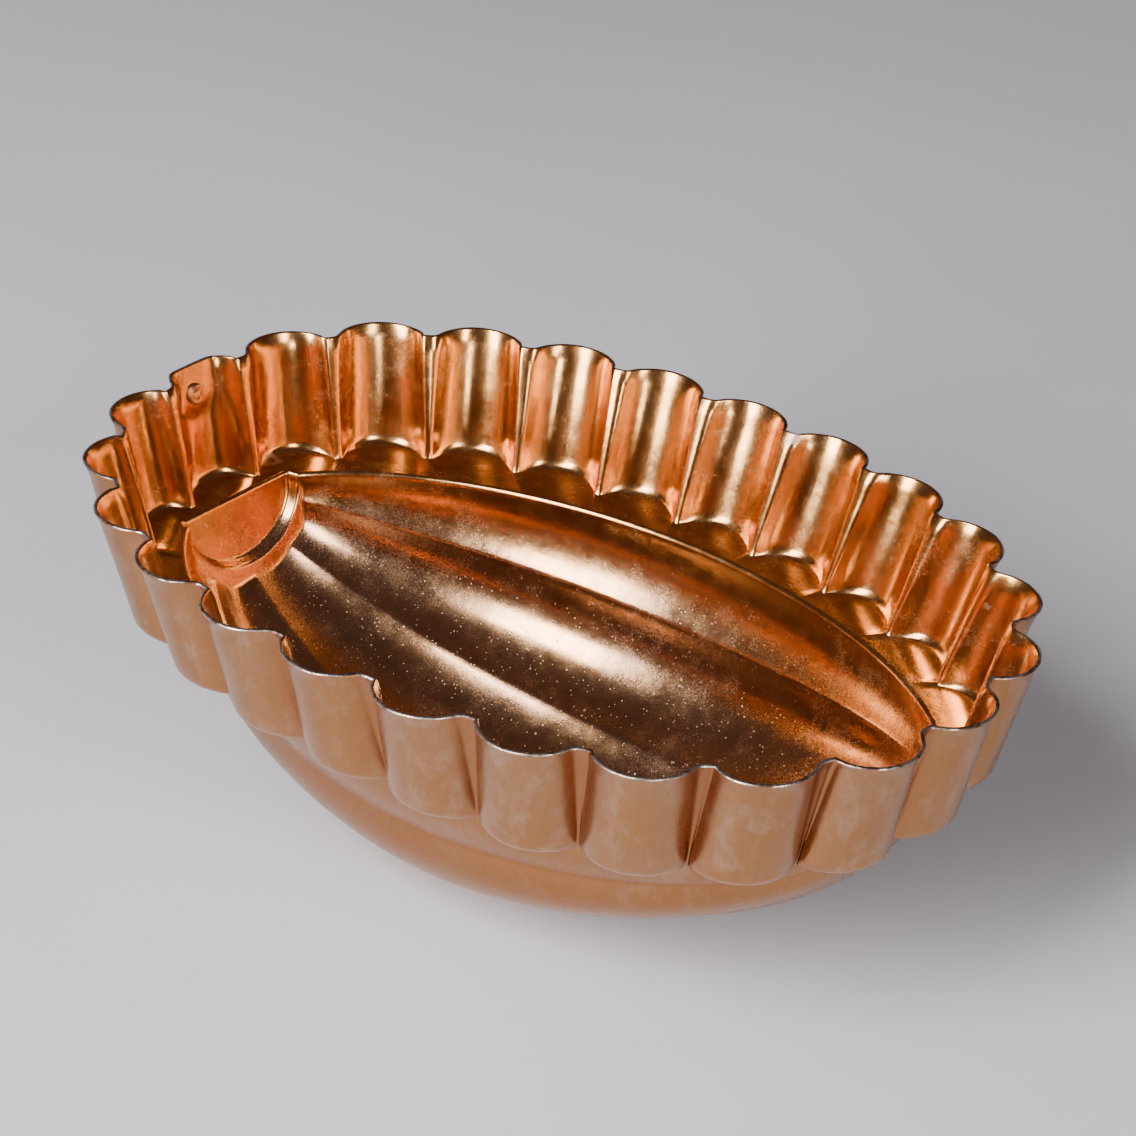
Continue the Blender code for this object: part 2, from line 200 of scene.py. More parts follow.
def oval(half_length, half_width, fractions):
    """Points and outward normals at the given fractions of a superellipse's length."""
    angle = np.linspace(0.0, 2.0 * math.pi, 8001)
    x = half_length * np.sign(np.cos(angle)) * np.abs(np.cos(angle)) ** (2.0 / OVAL_POWER)
    y = half_width * np.sign(np.sin(angle)) * np.abs(np.sin(angle)) ** (2.0 / OVAL_POWER)
    run = np.concatenate([[0.0], np.cumsum(np.hypot(np.diff(x), np.diff(y)))])
    at = np.asarray(fractions) % 1.0 * run[-1]
    px = np.interp(at, run, x)
    py = np.interp(at, run, y)
    nx = np.sign(px) * (np.abs(px) / half_length) ** (OVAL_POWER - 1.0) / half_length
    ny = np.sign(py) * (np.abs(py) / half_width) ** (OVAL_POWER - 1.0) / half_width
    size = np.hypot(nx, ny)
    return px, py, nx / size, ny / size, run[-1]


def flute_shape(pitch, valley):
    """Radius of a flute's arc that meets valleys of this radius, and where they meet."""
    half = pitch / 2.0
    radius = (half * half + FLUTE_DEPTH**2) / (2.0 * FLUTE_DEPTH) - valley
    return radius, radius * half / (radius + valley)


def flute_height(across, pitch, valley):
    """Height of a flute above its valleys at a distance from the flute's middle."""
    radius, tangent = flute_shape(pitch, valley)
    across = np.abs(across)
    arc = FLUTE_DEPTH - radius + np.sqrt(np.maximum(radius**2 - across**2, 0.0))
    into = np.clip(pitch / 2.0 - across, 0.0, valley)
    fillet = valley - np.sqrt(valley**2 - into**2)
    return np.where(across < tangent, arc, fillet)


def flute_stations(pitch, valley):
    """Fractions of the pitch: evenly round the flute's arc, then round the valley."""
    radius, tangent = flute_shape(pitch, valley)
    widest = math.asin(tangent / radius)
    on_arc = radius * np.sin(np.linspace(-widest, widest, ARC_STEPS + 1)) / pitch
    turns = np.linspace(widest, -widest, VALLEY_STEPS + 1)[1:-1]
    in_valley = 0.5 - valley * np.sin(turns) / pitch
    return np.concatenate([on_arc, in_valley])


def wall_section(drop, inset=0.0):
    """The fluted outline at a depth below the rim, and how deep in a valley each point lies."""
    part = drop / WALL_DROP
    half_length = RIM_HALF_LENGTH - DRAFT_ENDS * part
    half_width = RIM_HALF_WIDTH - DRAFT_SIDES * part
    pitch = oval(half_length, half_width, [0.0])[4] / FLUTES
    ease = min(drop / VALLEY_EASE, 1.0)
    rounding = VALLEY_RADIUS_RIM + (VALLEY_RADIUS_FOOT - VALLEY_RADIUS_RIM) * ease
    stations = flute_stations(pitch, rounding)
    fractions = (np.arange(FLUTES)[:, None] + stations[None, :]).ravel() / FLUTES
    rise = flute_height(np.tile(stations, FLUTES) * pitch, pitch, rounding)
    valley = 1.0 - rise / FLUTE_DEPTH
    valley_inset = FOOT_INSET_VALLEY * inset / FOOT_INSET_CREST
    flare = FLARE * max(1.0 - drop / FLARE_DROP, 0.0) ** 2
    rise = rise - valley_inset - (inset - valley_inset) * rise / FLUTE_DEPTH + flare
    px, py, nx, ny, _ = oval(half_length, half_width, fractions)
    x = px + nx * rise
    y = py + ny * rise
    fade = (drop - FLAT_DROP + FLAT_BOW * (y / FLAT_BOW_WIDTH) ** 2) / FLAT_FADE
    flat = 1.0 - np.clip(fade, 0.0, 1.0)
    limit = -(half_length + FLUTE_DEPTH - FLAT_INSET * flat - inset)
    x = np.where(x < -half_length, soft_above(x, limit, FLAT_SOFTNESS), x)
    return x, y, valley


def soft_above(value, limit, softness):
    """The larger of value and limit, with the corner between them rounded."""
    gap = value - limit
    return limit + (gap + np.sqrt(gap * gap + softness * softness)) / 2.0


def bowl_radii(x):
    """Half width and depth of the bowl at a station, easing to a slope beside the stem."""
    stem = x < BOWL_CENTRE_X
    reach = BOWL_REACH_STEM if stem else BOWL_REACH_TIP
    along = min(abs(x - BOWL_CENTRE_X) / reach, 1.0)
    plan = PLAN_POWER_STEM if stem else PLAN_POWER_TIP
    profile = PROFILE_POWER_STEM if stem else PROFILE_POWER_TIP
    width = BOWL_HALF_WIDTH * (1.0 - along**plan) ** (1.0 / plan)
    depth = BOWL_DEPTH * (1.0 - along**profile) ** (1.0 / profile)
    if stem:
        part = (x - LOBES_START_X) / (BOWL_CENTRE_X - LOBES_START_X)
        slope = LOBES_START_DEPTH + LOBES_START_SLOPE * (x - LOBES_START_X)
        softness = LOBES_START_SOFTNESS * (1.0 - part)
        depth = (depth + slope - math.hypot(slope - depth, softness)) / 2.0
    return width, depth


def lobe_swell(angle):
    """How far the sheet stands outside the ribs, which are rounded over by RIB_ROUNDING."""
    below = [rib for rib in RIB_ANGLES if rib <= angle]
    above = [rib for rib in RIB_ANGLES if rib > angle]
    low = below[-1] if below else -RIB_ANGLES[0]
    high = above[0] if above else 360.0 - RIB_ANGLES[-1]
    arch = math.sin(math.pi * (angle - low) / (high - low))
    rounded = math.sqrt(arch * arch + RIB_ROUNDING**2) - RIB_ROUNDING
    return 1.0 + LOBE_RISE * rounded


def bowl_angles():
    """Angles round the bowl, closer together by the ribs and by the opening."""
    marks = (0.0,) + RIB_ANGLES + (180.0,)
    angles = [0.0]
    for low, high in zip(marks, marks[1:]):
        middle = (low + high) / 2.0
        half = (high - low) / 2.0
        steps = 10 if high - low < 25.0 else 16
        turns = np.linspace(-math.pi / 2.0, math.pi / 2.0, steps + 1)[1:]
        spread = 0.75 * np.sin(turns) + 0.25 * turns / (math.pi / 2.0)
        angles += list(middle + half * spread)
    return angles


def bowl_point(x, angle):
    """A point on the bowl at a station, with angle 90 at its lowest."""
    width, depth = bowl_radii(x)
    swell = lobe_swell(angle)
    across = math.cos(math.radians(angle))
    down = math.sin(math.radians(angle))
    y = width * swell * math.copysign(abs(across) ** (2.0 / BOWL_SECTION_POWER), across)
    z = depth * swell * abs(down) ** (2.0 / BOWL_SECTION_POWER)
    return Vector((x, y, -WALL_DROP - EDGE_RADIUS - z))


def disc_point(angle, share, grow=0.0):
    """A point on the leaning half disc that closes the bowl at the stem."""
    across = math.cos(math.radians(angle)) * (DISC_RADIUS + grow) * share
    down = math.sin(math.radians(angle)) * (DISC_DEPTH - EDGE_RADIUS + grow) * share
    return Vector((DISC_X + DISC_LEAN * down, across, -WALL_DROP - EDGE_RADIUS - down))


def lip_point(angle):
    """A point on the lip that runs round the disc, on the bowl's side of it."""
    return disc_point(angle, 1.0, LIP_GROWTH) + Vector((LIP_STEP, 0.0, 0.0))


def leaning(x, angle):
    """Moves a station near the stem so that the lobes start parallel to the disc."""
    if x > LEAN_ENDS_X:
        return x
    start = LOBES_START_X + DISC_LEAN * DISC_DEPTH * math.sin(math.radians(angle))
    share = (x - LOBES_START_X) / (LEAN_ENDS_X - LOBES_START_X)
    return start + (LEAN_ENDS_X - start) * share


def filleted(points, radii, steps):
    """The polyline with each inner corner replaced by a curve that starts a radius before it."""
    run = [points[0]]
    for before, corner, after, radius in zip(points, points[1:-1], points[2:], radii):
        back, on = before - corner, after - corner
        start = corner + back.normalized() * min(radius, back.length * 0.48)
        end = corner + on.normalized() * min(radius, on.length * 0.48)
        run += [bend(start, corner, end, share) for share in np.linspace(0.0, 1.0, steps + 1)]
    return run


def bend(first, corner, last, share):
    """A point on the curve that rounds the corner between two points."""
    return first * (1 - share) ** 2 + corner * 2 * share * (1 - share) + last * share**2


def bowl_columns():
    """Columns of points from the stem disc's middle to the tip: disc, channel, lip, bowl."""
    angles = bowl_angles()
    columns = [[disc_point(a, share) for a in angles] for share in (0.2, 0.4, 0.6, 0.75, 0.86)]
    runs = []
    for a in angles:
        corners = [disc_point(a, 0.9), disc_point(a, 1.0), lip_point(a)]
        corners += [bowl_point(leaning(x, a), a) for x in (LOBES_START_X, LOBES_START_X + 1.6)]
        runs.append(filleted(corners, (DISC_FILLET, LIP_FILLET, LOBE_FILLET), 5))
    columns += [list(column) for column in zip(*runs)]
    start = math.acos((LOBES_START_X + 2.5 - BOWL_CENTRE_X) / BOWL_REACH_STEM)
    for turn in np.linspace(start, 0.0, BOWL_COLUMNS)[1:-1]:
        reach = BOWL_REACH_STEM if math.cos(turn) < 0.0 else BOWL_REACH_TIP
        x = BOWL_CENTRE_X + reach * math.cos(turn)
        columns.append([bowl_point(leaning(x, a), a) for a in angles])
    return columns


# ---------------------------------------------------------------- the shell's mesh


def wall_rows():
    """Depths below the rim and insets of the wall's rows, closer by the rim and round the foot."""
    rows = [(drop, 0.0) for drop in (0.0, 0.5, 1.1, 1.8, 2.6, 3.4, 4.3, 6.0, 8.0, 10.0, 11.5, 12.5)]
    rows += [(drop, 0.0) for drop in (13.3, 14.0, 14.7, 15.4, 16.2, 17.5, 19.5, 22.0, 24.5, 26.8)]
    for turn in np.linspace(0.0, math.pi / 2.0, 7):
        drop = WALL_DROP - FOOT_RADIUS * (1.0 - math.sin(turn))
        rows.append((drop, FOOT_INSET_CREST * (1.0 - math.cos(turn))))
    return rows


def add_wall(bm, valley_layer):
    """The fluted wall, down to the ledge. Returns the loop of vertices at its foot."""
    previous = None
    for drop, inset in wall_rows():
        x, y, valley = wall_section(drop, inset)
        ring = [bm.verts.new((px, py, -drop)) for px, py in zip(x, y)]
        for vert, depth in zip(ring, valley):
            vert[valley_layer] = depth
        if previous:
            for i, vert in enumerate(ring):
                after = (i + 1) % len(ring)
                bm.faces.new((previous[i], previous[after], ring[after], vert))
        previous = ring
    return previous


def groove_depth(angle):
    """1 on a rib, which is a groove on the outside, falling to 0 beside it; it sets how much painted
    shade the outside's groove gets.
    """
    nearest = min(abs(angle - rib) for rib in RIB_ANGLES)
    return math.exp(-((nearest / GROOVE_SHADE_SPREAD) ** 2))


def add_bowl(bm, valley_layer):
    """The bowl and stem end below the rounded edge. Returns the opening's loop of vertices."""
    columns = bowl_columns()
    middle = bm.verts.new((DISC_X, 0.0, -WALL_DROP - EDGE_RADIUS))
    tip = bm.verts.new((BOWL_CENTRE_X + BOWL_REACH_TIP, 0.0, -WALL_DROP - EDGE_RADIUS))
    made = [[bm.verts.new(p) for p in column] for column in columns]
    for column in made:
        for vert, angle in zip(column, bowl_angles()):
            vert[valley_layer] = groove_depth(angle)
    for j in range(len(made[0]) - 1):
        bm.faces.new((middle, made[0][j], made[0][j + 1]))
        bm.faces.new((made[-1][j + 1], made[-1][j], tip))
    for first, second in zip(made, made[1:]):
        for j in range(len(first) - 1):
            bm.faces.new((first[j], second[j], second[j + 1], first[j + 1]))
    return [middle] + [c[0] for c in made] + [tip] + [c[-1] for c in reversed(made)]


def add_rounded_edge(bm, loop, steps=4):
    """Rounds the sheet over from the bowl to the ledge. Returns the loop on the ledge."""
    points = [vert.co.xy for vert in loop]
    count = len(points)
    outward = []
    for i in range(count):
        along = points[(i + 1) % count] - points[i - 1]
        outward.append(Vector((-along.y, along.x)).normalized())
    for _ in range(NORMAL_SMOOTHING):
        after = outward[1:] + outward[:1]
        outward = [(outward[i - 1] + n + after[i]).normalized() for i, n in enumerate(outward)]
    previous = loop
    for step in range(1, steps + 1):
        turn = math.pi / 2.0 * step / steps
        out = EDGE_RADIUS * (1.0 - math.cos(turn))
        z = -WALL_DROP - EDGE_RADIUS * (1.0 - math.sin(turn))
        ring = [bm.verts.new((*(p + n * out), z)) for p, n in zip(points, outward)]
        for i, vert in enumerate(ring):
            after = (i + 1) % count
            bm.faces.new((previous[i], previous[after], ring[after], vert))
        previous = ring
    return previous


def bearing(vert):
    return math.atan2(vert.co.y, vert.co.x)


def add_ledge(bm, outer, inner):
    """Closes the flat ledge between two loops of points sorted by bearing, going round both at once."""
    on_outer = [bearing(vert) for vert in outer[1:]] + [math.inf]
    on_inner = [bearing(vert) for vert in inner[1:]] + [math.inf]
    i = j = 0
    while i + 1 < len(outer) or j + 1 < len(inner):
        if on_outer[i] <= on_inner[j]:
            bm.faces.new((outer[i], outer[i + 1], inner[j]))
            i += 1
        else:
            bm.faces.new((outer[i], inner[j + 1], inner[j]))
            j += 1
    bm.faces.new((outer[-1], outer[0], inner[-1]))
    bm.faces.new((outer[0], inner[0], inner[-1]))


def dent(point):
    """Slight unevenness of the worn sheet, in millimetres."""
    near_rim = max(1.0 + point.z / DENT_RIM_REACH, 0.0)
    broad = noise.noise(point * 0.035 + Vector((3.1, 0.0, 7.7)))
    fine = noise.noise(point * 0.11 + Vector((0.0, 9.2, 1.3)))
    return DENT_BROAD * broad + DENT_FINE * fine + DENT_RIM * near_rim * fine


def build_shell():
    bm = bmesh.new()
    valley_layer = bm.verts.layers.float.new("valley")
    foot = add_wall(bm, valley_layer)
    ledge_edge = add_rounded_edge(bm, add_bowl(bm, valley_layer))
    bmesh.ops.remove_doubles(bm, verts=bm.verts, dist=SHORTEST_EDGE)
    ledge_edge = [vert for vert in ledge_edge if vert.is_valid]
    add_ledge(bm, sorted(foot, key=bearing), sorted(ledge_edge, key=bearing))
    bmesh.ops.recalc_face_normals(bm, faces=bm.faces)
    bm.normal_update()
    crest = max(bm.faces, key=lambda face: face.calc_center_median().x)
    if crest.normal.x > 0.0:
        bmesh.ops.reverse_faces(bm, faces=bm.faces)
        bm.normal_update()
    moves = [vert.normal * dent(vert.co) for vert in bm.verts]
    for vert, move in zip(bm.verts, moves):
        vert.co = to_frame(*(vert.co + move))
    materials = [copper_inside(), copper_outside(), raw_edge()]
    shell = mesh_object("mould_shell", bm, materials)
    thicken = shell.modifiers.new("sheet", "SOLIDIFY")
    thicken.thickness = SHEET * MM
    thicken.offset = -1.0
    thicken.use_even_offset = False
    thicken.use_quality_normals = True
    thicken.material_offset = 1
    thicken.material_offset_rim = 2
    return shell


# ---------------------------------------------------------------- hanger


def hanger_frame():
    """At the rivet on the pressed flat: X out of the wall, Z up along it."""
    crest = RIM_HALF_LENGTH + FLUTE_DEPTH - FLAT_INSET
    lean = math.atan2(DRAFT_ENDS, WALL_DROP)
    foot = Vector((-(crest - math.tan(lean) * RIVET_DROP), 0.0, -RIVET_DROP))
    out = Vector((-math.cos(lean), 0.0, -math.sin(lean)))
    up = Vector((-math.sin(lean), 0.0, math.cos(lean)))
    turn = Matrix((out, up.cross(out), up)).transposed().to_4x4()
    return Matrix.Translation(to_frame(*foot)) @ turn @ Matrix.Scale(MM, 4)


def strap_path():
    """The strip's middle line: down the inner layer, round the wire, up the outer layer."""
    half = STRAP_SHEET / 2.0
    inner = SHEET + GAP + half
    outer = inner + STRAP_SHEET + 0.02
    centre = (LOOP_STAND_OFF, -LOOP_DROP)
    radius = LOOP_RADIUS + half
    start = np.radians(-118.0)
    lead = (centre[0] + radius * math.cos(start), centre[1] + radius * math.sin(start))
    bend_from = -LOOP_DROP + 0.6
    path = [(inner, STRAP_TAIL - (STRAP_TAIL - bend_from) * t) for t in np.linspace(0.0, 1.0, 14)]
    corner = (inner, lead[1] + 1.2)
    path += [round_corner(path[13], corner, lead, t) for t in np.linspace(0.0, 1.0, 9)[1:]]
    turns = np.radians(np.linspace(-118.0, 128.0, 36)[1:])
    path += [(centre[0] + radius * math.cos(t), centre[1] + radius * math.sin(t)) for t in turns]
    neck = (outer, -2.4)
    last = path[-1]
    path += [round_corner(last, (outer + 0.3, -2.9), neck, t) for t in np.linspace(0.0, 1.0, 7)[1:]]
    path += [(outer, -2.4 + (STRAP_TAIL + 2.4) * t) for t in np.linspace(0.0, 1.0, 14)[1:]]
    return path


def round_corner(first, corner, last, share):
    """bend() for pairs."""
    weights = ((1 - share) ** 2, 2 * share * (1 - share), share**2)
    return tuple(sum(w * p[k] for w, p in zip(weights, (first, corner, last))) for k in (0, 1))


def strap_half_width(path, index):
    """Half the strip's width, narrowing round both ends of the tail."""
    ends = (path[0][1], path[-1][1])
    near = min(abs(path[index][1] - ends[0]), abs(path[index][1] - ends[1]))
    near = min(near, STRAP_CORNER)
    return STRAP_WIDTH / 2.0 - STRAP_CORNER + math.sqrt(STRAP_CORNER**2 - (STRAP_CORNER - near) ** 2)


def build_strap():
    bm = bmesh.new()
    path = strap_path()
    previous = None
    for index, (out, up) in enumerate(path):
        half = strap_half_width(path, index)
        row = [bm.verts.new((out, half * across, up)) for across in np.linspace(-1.0, 1.0, 9)]
        if previous:
            for j in range(8):
                bm.faces.new((previous[j], previous[j + 1], row[j + 1], row[j]))
        previous = row
    bm.transform(hanger_frame())
    strap = mesh_object("hanger_strip", bm, [copper_hardware("copper_strap", 0.34)])
    thicken = strap.modifiers.new("sheet", "SOLIDIFY")
    thicken.thickness = (STRAP_SHEET - 0.04) * MM
    thicken.offset = 0.0
    soften = strap.modifiers.new("edges", "BEVEL")
    soften.width = 0.12 * MM
    soften.segments = 2
    soften.limit_method = "ANGLE"
    soften.angle_limit = math.radians(50.0)
    return strap


def turned(bm, profile, segments, wobble=0.0):
    """Lathes a profile of (radius, along) pairs round the local X axis, from pole to pole."""
    rings = []
    for radius, along in profile:
        if radius < 1e-6:
            rings.append([bm.verts.new((along, 0.0, 0.0))] * segments)
            continue
        ring = []
        for step in range(segments):
            turn = 2.0 * math.pi * step / segments
            out = radius * (1.0 + wobble * noise.noise(Vector((math.cos(turn), math.sin(turn), along))))
            ring.append(bm.verts.new((along, out * math.cos(turn), out * math.sin(turn))))
        rings.append(ring)
    for first, second in zip(rings, rings[1:]):
        for step in range(segments):
            after = (step + 1) % segments
            corners = (first[step], first[after], second[after], second[step])
            bm.faces.new(list(dict.fromkeys(corners)))


def build_rivet():
    """Inner head with a raised ring round a flat middle, shank, and a domed outer head."""
    bm = bmesh.new()
    inner = -GAP + 0.26
    outer = SHEET + GAP + 2.0 * STRAP_SHEET + GAP
    big = INNER_HEAD_RADIUS
    small = OUTER_HEAD_RADIUS
    profile = [
        (0.0, inner - 0.98), (big * 0.25, inner - 0.97), (big * 0.42, inner - 0.9),
        (big * 0.52, inner - 0.78), (big * 0.58, inner - 0.74), (big * 0.66, inner - 0.84),
        (big * 0.76, inner - 0.88), (big * 0.86, inner - 0.82), (big * 0.94, inner - 0.66),
        (big * 0.985, inner - 0.42), (big, inner - 0.16), (big * 0.98, inner),
        (1.25, inner), (1.25, outer - 0.25), (small * 0.99, outer - 0.25),
        (small, outer), (small * 0.97, outer + 0.25), (small * 0.88, outer + 0.55),
        (small * 0.7, outer + 0.83), (small * 0.45, outer + 1.0), (0.0, outer + HEAD_HEIGHT),
    ]
    turned(bm, profile, 40, wobble=0.05)
    bmesh.ops.recalc_face_normals(bm, faces=bm.faces)
    bm.transform(hanger_frame())
    rivet = mesh_object("rivet_heads", bm, [copper_hardware("copper_rivet", 0.24)])
    rivet.data.set_sharp_from_angle(angle=math.radians(60.0))
    return rivet


def build_ring():
    """The wire ring, a little uneven, with the butt joint of the wire's two ends at the bottom."""
    bm = bmesh.new()
    hinge = hanger_frame() @ Vector((LOOP_STAND_OFF, 0.0, -LOOP_DROP))
    around, section = 120, 18
    rings = []
    for step in range(around):
        turn = 2.0 * math.pi * step / around
        from_joint = abs((step - around / 2) * 2.0 * math.pi * RING_RADIUS / around)
        groove = 0.18 * math.exp(-((from_joint / 0.45) ** 2))
        radius = WIRE_RADIUS * (0.985 + 0.015 * noise.noise(Vector((turn * 4.0, 2.0, 0.0)))) - groove
        centre = Vector((0.12 * math.sin(2.0 * turn), RING_RADIUS * math.sin(turn), 0.0))
        centre.z = WIRE_SAG - RING_RADIUS + RING_RADIUS * math.cos(turn)
        out = Vector((0.0, math.sin(turn), math.cos(turn)))
        ring = []
        for k in range(section):
            lean = 2.0 * math.pi * k / section
            offset = out * math.cos(lean) + Vector((1.0, 0.0, 0.0)) * math.sin(lean)
            ring.append(bm.verts.new(hinge + (centre + offset * radius) * MM))
        rings.append(ring)
    for first, second in zip(rings, rings[1:] + rings[:1]):
        for k in range(section):
            after = (k + 1) % section
            bm.faces.new((first[k], first[after], second[after], second[k]))
    bmesh.ops.recalc_face_normals(bm, faces=bm.faces)
    return mesh_object("wire_ring", bm, [shaded_wire()])


def mesh_object(name, bm, materials):
    mesh = bpy.data.meshes.new(name)
    bm.to_mesh(mesh)
    bm.free()
    for material in materials:
        mesh.materials.append(material)
    mesh.shade_smooth()
    made = bpy.data.objects.new(name, mesh)
    bpy.context.scene.collection.objects.link(made)
    return made


# ---------------------------------------------------------------- materials


class Nodes:
    """Short calls that add and wire shader nodes."""

    def __init__(self, name):
        self.material = bpy.data.materials.new(name)
        self.material.use_nodes = True
        self.tree = self.material.node_tree
        self.shader = self.tree.nodes["Principled BSDF"]
        self.place = self.add("ShaderNodeTexCoord").outputs["Object"]

    def add(self, kind, inputs=None, **settings):
        node = self.tree.nodes.new(kind)
        for key, value in settings.items():
            setattr(node, key, value)
        for key, value in (inputs or {}).items():
            self.feed(node.inputs[key], value)
        return node

    def feed(self, socket, value):
        if isinstance(value, bpy.types.NodeSocket):
            self.tree.links.new(value, socket)
        else:
            socket.default_value = value

    def scaled(self, scale, offset=(0.0, 0.0, 0.0), turn=(0.0, 0.0, 0.0)):
        """Object coordinates, in repeats per metre along each axis."""
        mapping = self.add("ShaderNodeMapping", {"Vector": self.place})
        mapping.inputs["Scale"].default_value = scale
        mapping.inputs["Location"].default_value = offset
        mapping.inputs["Rotation"].default_value = turn
        return mapping.outputs["Vector"]

    def noise(self, vector, detail=3.0, roughness=0.55, scale=1.0):
        inputs = {"Vector": vector, "Scale": scale, "Detail": detail, "Roughness": roughness}
        return self.add("ShaderNodeTexNoise", inputs).outputs["Fac"]

    def spots(self, vector):
        return self.add("ShaderNodeTexVoronoi", {"Vector": vector, "Scale": 1.0})

    def ramp(self, value, low, high, to_low=0.0, to_high=1.0):
        inputs = {"Value": value, "From Min": low, "From Max": high, "To Min": to_low, "To Max": to_high}
        return self.add("ShaderNodeMapRange", inputs, interpolation_type="SMOOTHSTEP").outputs["Result"]

    def math(self, operation, first, second=0.0, clamp=False):
        node = self.add("ShaderNodeMath", operation=operation, use_clamp=clamp)
        self.feed(node.inputs[0], first)
        self.feed(node.inputs[1], second)
        return node.outputs["Value"]

    def blend(self, share, first, second):
        node = self.add("ShaderNodeMix", data_type="RGBA")
        self.feed(node.inputs["Factor"], share)
        self.feed(node.inputs["A"], first)
        self.feed(node.inputs["B"], second)
        return node.outputs["Result"]

    def bump(self, height, strength, distance, normal=None):
        inputs = {"Height": height, "Strength": strength, "Distance": distance}
        if normal is not None:
            inputs["Normal"] = normal
        return self.add("ShaderNodeBump", inputs).outputs["Normal"]

    def height(self):
        """Height above the floor, in metres."""
        return self.add("ShaderNodeSeparateXYZ", {"Vector": self.place}).outputs["Z"]

    def attribute(self, name):
        return self.add("ShaderNodeAttribute", attribute_name=name).outputs["Fac"]

    def finish(self, colour, roughness, metallic, normal):
        for key, value in (("Base Color", colour), ("Roughness", roughness), ("Metallic", metallic)):
            self.feed(self.shader.inputs[key], value)
        self.feed(self.shader.inputs["Normal"], normal)
        return self.material


def speckles(n, per_metre, reach, keep, offset):
    """Small specks: round spots of radius reach (in cells), kept in some of the cells only."""
    cells = n.spots(n.scaled((per_metre,) * 3, offset))
    spot = n.ramp(cells.outputs["Distance"], reach, reach * 0.55)
    chosen = n.add("ShaderNodeSeparateColor", {"Color": cells.outputs["Color"]}).outputs["Red"]
    return n.math("MULTIPLY", spot, n.math("GREATER_THAN", chosen, 1.0 - keep))


def water_marks(n, per_metre, keep, offset):
    """Dried drops: pale rings with a faint middle, in some of the cells."""
    warp = n.add("ShaderNodeVectorMath", operation="ADD")
    n.feed(warp.inputs[0], n.scaled((per_metre,) * 3, offset))
    bend_by = n.add("ShaderNodeTexNoise", {"Vector": n.place, "Scale": 260.0, "Detail": 2.0})
    by = n.add("ShaderNodeVectorMath", {0: bend_by.outputs["Color"], "Scale": 0.14}, operation="SCALE")
    n.feed(warp.inputs[1], by.outputs[0])
    cells = n.spots(warp.outputs[0])
    distance = cells.outputs["Distance"]
    ring = n.math("MULTIPLY", n.ramp(distance, 0.10, 0.15), n.ramp(distance, 0.22, 0.17))
    middle = n.ramp(distance, 0.16, 0.05, 0.0, 0.35)
    chosen = n.add("ShaderNodeSeparateColor", {"Color": cells.outputs["Color"]}).outputs["Green"]
    return n.math("MULTIPLY", n.math("MAXIMUM", ring, middle), n.math("GREATER_THAN", chosen, 1.0 - keep))


